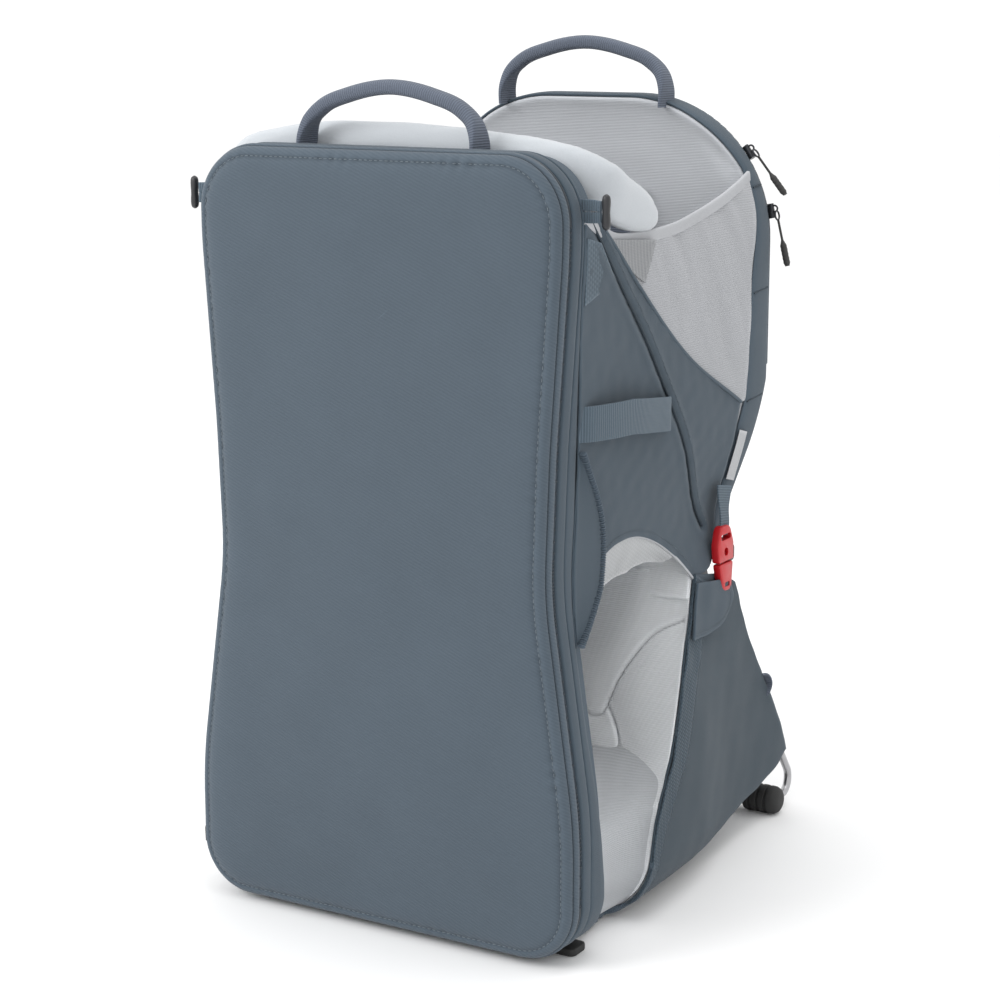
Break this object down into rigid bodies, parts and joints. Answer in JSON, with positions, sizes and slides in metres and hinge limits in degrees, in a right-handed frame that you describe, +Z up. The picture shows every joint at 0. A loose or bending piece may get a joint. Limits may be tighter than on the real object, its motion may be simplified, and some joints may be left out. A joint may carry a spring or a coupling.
{
  "type": "baby carrier backpack",
  "caption": "Framed child carrier backpack on its kickstand: zip-on front cover over the harness, padded cockpit with drool pad, two carry handles, mesh sides and lower storage",
  "frame": {"origin": "under the middle of the standing pack, on the floor", "axes": "+Z up; +X to the side with the rear zip pulls; the wearer's side with its cover faces -Y and the kickstand stands towards +Y"},
  "size_m": [0.372, 0.4553, 0.699],
  "materials": {
    "shell_fabric": "plain-woven coated nylon, blue grey",
    "light_fabric": "pale grey brushed polyester over foam",
    "light_mesh": "pale grey knitted mesh",
    "drool_pad_fabric": "soft pale grey knit over foam",
    "webbing": "ribbed slate webbing",
    "zip_tape": "dark woven zip tape with coil teeth",
    "black_plastic": "moulded, fine grain",
    "pull_rubber": "moulded cord end",
    "foot_rubber": "moulded rubber foot",
    "zip_metal": "dark painted zinc",
    "red_plastic": "moulded, satin",
    "frame_aluminium": "anodised tube",
    "steel_rod": "bent steel rod",
    "harness_foam": "spacer mesh over foam"
  },
  "bodies": {
    "root": {"front_frame_tube": "frame_aluminium", "frame_crossbar_upper": "frame_aluminium", "frame_crossbar_lower": "frame_aluminium", "pivot_brackets": "black_plastic", "frame_pivot_pins": "zip_metal", "front_feet": "black_plastic", "frame_sleeve": "shell_fabric", "cover_gusset": "shell_fabric", "cover_zip_tape": "zip_tape", "back_panel": "harness_foam", "lumbar_pad": "harness_foam", "hip_belt": "harness_foam", "hip_buckle": "black_plastic", "drool_pad": "drool_pad_fabric", "front_handle": "webbing", "toggle_loops": "webbing", "upper_side_panel_left": "shell_fabric", "upper_side_panel_right": "shell_fabric", "mesh_panel_left": "light_mesh", "mesh_panel_right": "light_mesh", "grab_strap_left": "webbing", "grab_strap_right": "webbing", "stretch_pocket_left": "shell_fabric", "stretch_pocket_right": "shell_fabric", "seat_rail": "black_plastic"},
    "harness_cover": {"harness_cover": "shell_fabric"},
    "cover_zip_slider": {"cover_zip_slider": "zip_metal"},
    "torso_yoke": {"torso_yoke": "harness_foam", "shoulder_strap_left": "harness_foam", "shoulder_strap_right": "harness_foam", "sternum_strap": "webbing"},
    "child_seat": {"child_seat": "light_fabric"},
    "shade_toggle_left": {"shade_toggle_left": "black_plastic"},
    "shade_toggle_right": {"shade_toggle_right": "black_plastic"},
    "rear_hoop": {"rear_hoop_tube": "frame_aluminium", "hoop_end_fittings": "black_plastic", "elbow_brackets": "black_plastic", "rear_shell": "shell_fabric", "rear_liner": "light_fabric", "footwell_wall": "light_fabric", "rear_handle": "webbing", "rear_pocket_zip": "zip_tape", "rear_pocket_panel": "shell_fabric", "child_harness_straps": "webbing", "child_buckle_socket": "black_plastic", "side_buckle_socket_left": "red_plastic", "side_buckle_socket_right": "red_plastic", "storage_floor": "shell_fabric"},
    "child_buckle_tongue": {"child_buckle_tongue": "black_plastic"},
    "side_buckle_tongue_left": {"side_buckle_tongue_left": "red_plastic"},
    "side_buckle_tongue_right": {"side_buckle_tongue_right": "red_plastic"},
    "rear_zip_slider_upper": {"rear_zip_slider_upper": "zip_metal"},
    "rear_zip_slider_lower": {"rear_zip_slider_lower": "zip_metal"},
    "rear_zip_pull_upper": {"rear_zip_pull_upper": "pull_rubber"},
    "rear_zip_pull_lower": {"rear_zip_pull_lower": "pull_rubber"},
    "kickstand": {"kickstand_rod": "steel_rod", "kickstand_feet": "foot_rubber", "storage_rear_panel": "shell_fabric", "storage_side_left": "shell_fabric", "storage_side_right": "shell_fabric"}
  },
  "joints": [
    {"name": "frame_fold", "type": "hinge", "parent": "root", "child": "rear_hoop", "pos_m": [0, -0.1366, 0.034], "axis": [1, 0, 0], "range_deg": [0, 15], "deforming": ["upper_side_panel_left", "upper_side_panel_right", "mesh_panel_left", "mesh_panel_right", "child_seat"]},
    {"name": "kickstand_fold", "type": "hinge", "parent": "rear_hoop", "child": "kickstand", "pos_m": [0, 0.0734, 0.243], "axis": [-1, 0, 0], "range_deg": [0, 60], "deforming": ["storage_side_left", "storage_side_right", "storage_floor"]},
    {"name": "cover_open", "type": "hinge", "parent": "root", "child": "harness_cover", "pos_m": [0, -0.2136, 0.005], "axis": [1, 0, 0], "range_deg": [0, 75]},
    {"name": "cover_zip", "type": "slide", "parent": "root", "child": "cover_zip_slider", "axis": [0, 0, 1], "range_m": [0, 0.04]},
    {"name": "torso_length", "type": "slide", "parent": "root", "child": "torso_yoke", "axis": [0, 0, 1], "range_m": [-0.04, 0.04]},
    {"name": "seat_height", "type": "slide", "parent": "root", "child": "child_seat", "axis": [0, 0, 1], "range_m": [0, 0.06]},
    {"name": "toggle_swing_left", "type": "hinge", "parent": "root", "child": "shade_toggle_left", "pos_m": [-0.172, -0.1966, 0.576], "axis": [0, 1, 0], "range_deg": [-60, 60]},
    {"name": "toggle_swing_right", "type": "hinge", "parent": "root", "child": "shade_toggle_right", "pos_m": [0.172, -0.1966, 0.576], "axis": [0, 1, 0], "range_deg": [-60, 60]},
    {"name": "child_buckle_release", "type": "slide", "parent": "rear_hoop", "child": "child_buckle_tongue", "axis": [0, 0, 1], "range_m": [0, 0.03]},
    {"name": "side_buckle_release_left", "type": "slide", "parent": "rear_hoop", "child": "side_buckle_tongue_left", "axis": [0, 0, 1], "range_m": [0, 0.03]},
    {"name": "side_buckle_release_right", "type": "slide", "parent": "rear_hoop", "child": "side_buckle_tongue_right", "axis": [0, 0, 1], "range_m": [0, 0.03]},
    {"name": "rear_zip_upper", "type": "hinge", "parent": "rear_hoop", "child": "rear_zip_slider_upper", "pos_m": [0.04, 0.1384, 0.528], "axis": [0, -1, 0], "range_deg": [-8, 50]},
    {"name": "rear_zip_lower", "type": "hinge", "parent": "rear_hoop", "child": "rear_zip_slider_lower", "pos_m": [0.04, 0.1384, 0.528], "axis": [0, -1, 0], "range_deg": [-11, 8]},
    {"name": "zip_pull_upper", "type": "hinge", "parent": "rear_zip_slider_upper", "child": "rear_zip_pull_upper", "pos_m": [0.13836, 0.1384, 0.60685], "axis": [0, -1, 0], "range_deg": [0, 60]},
    {"name": "zip_pull_lower", "type": "hinge", "parent": "rear_zip_slider_lower", "child": "rear_zip_pull_lower", "pos_m": [0.16267, 0.1384, 0.55704], "axis": [0, -1, 0], "range_deg": [0, 60]}
  ]
}
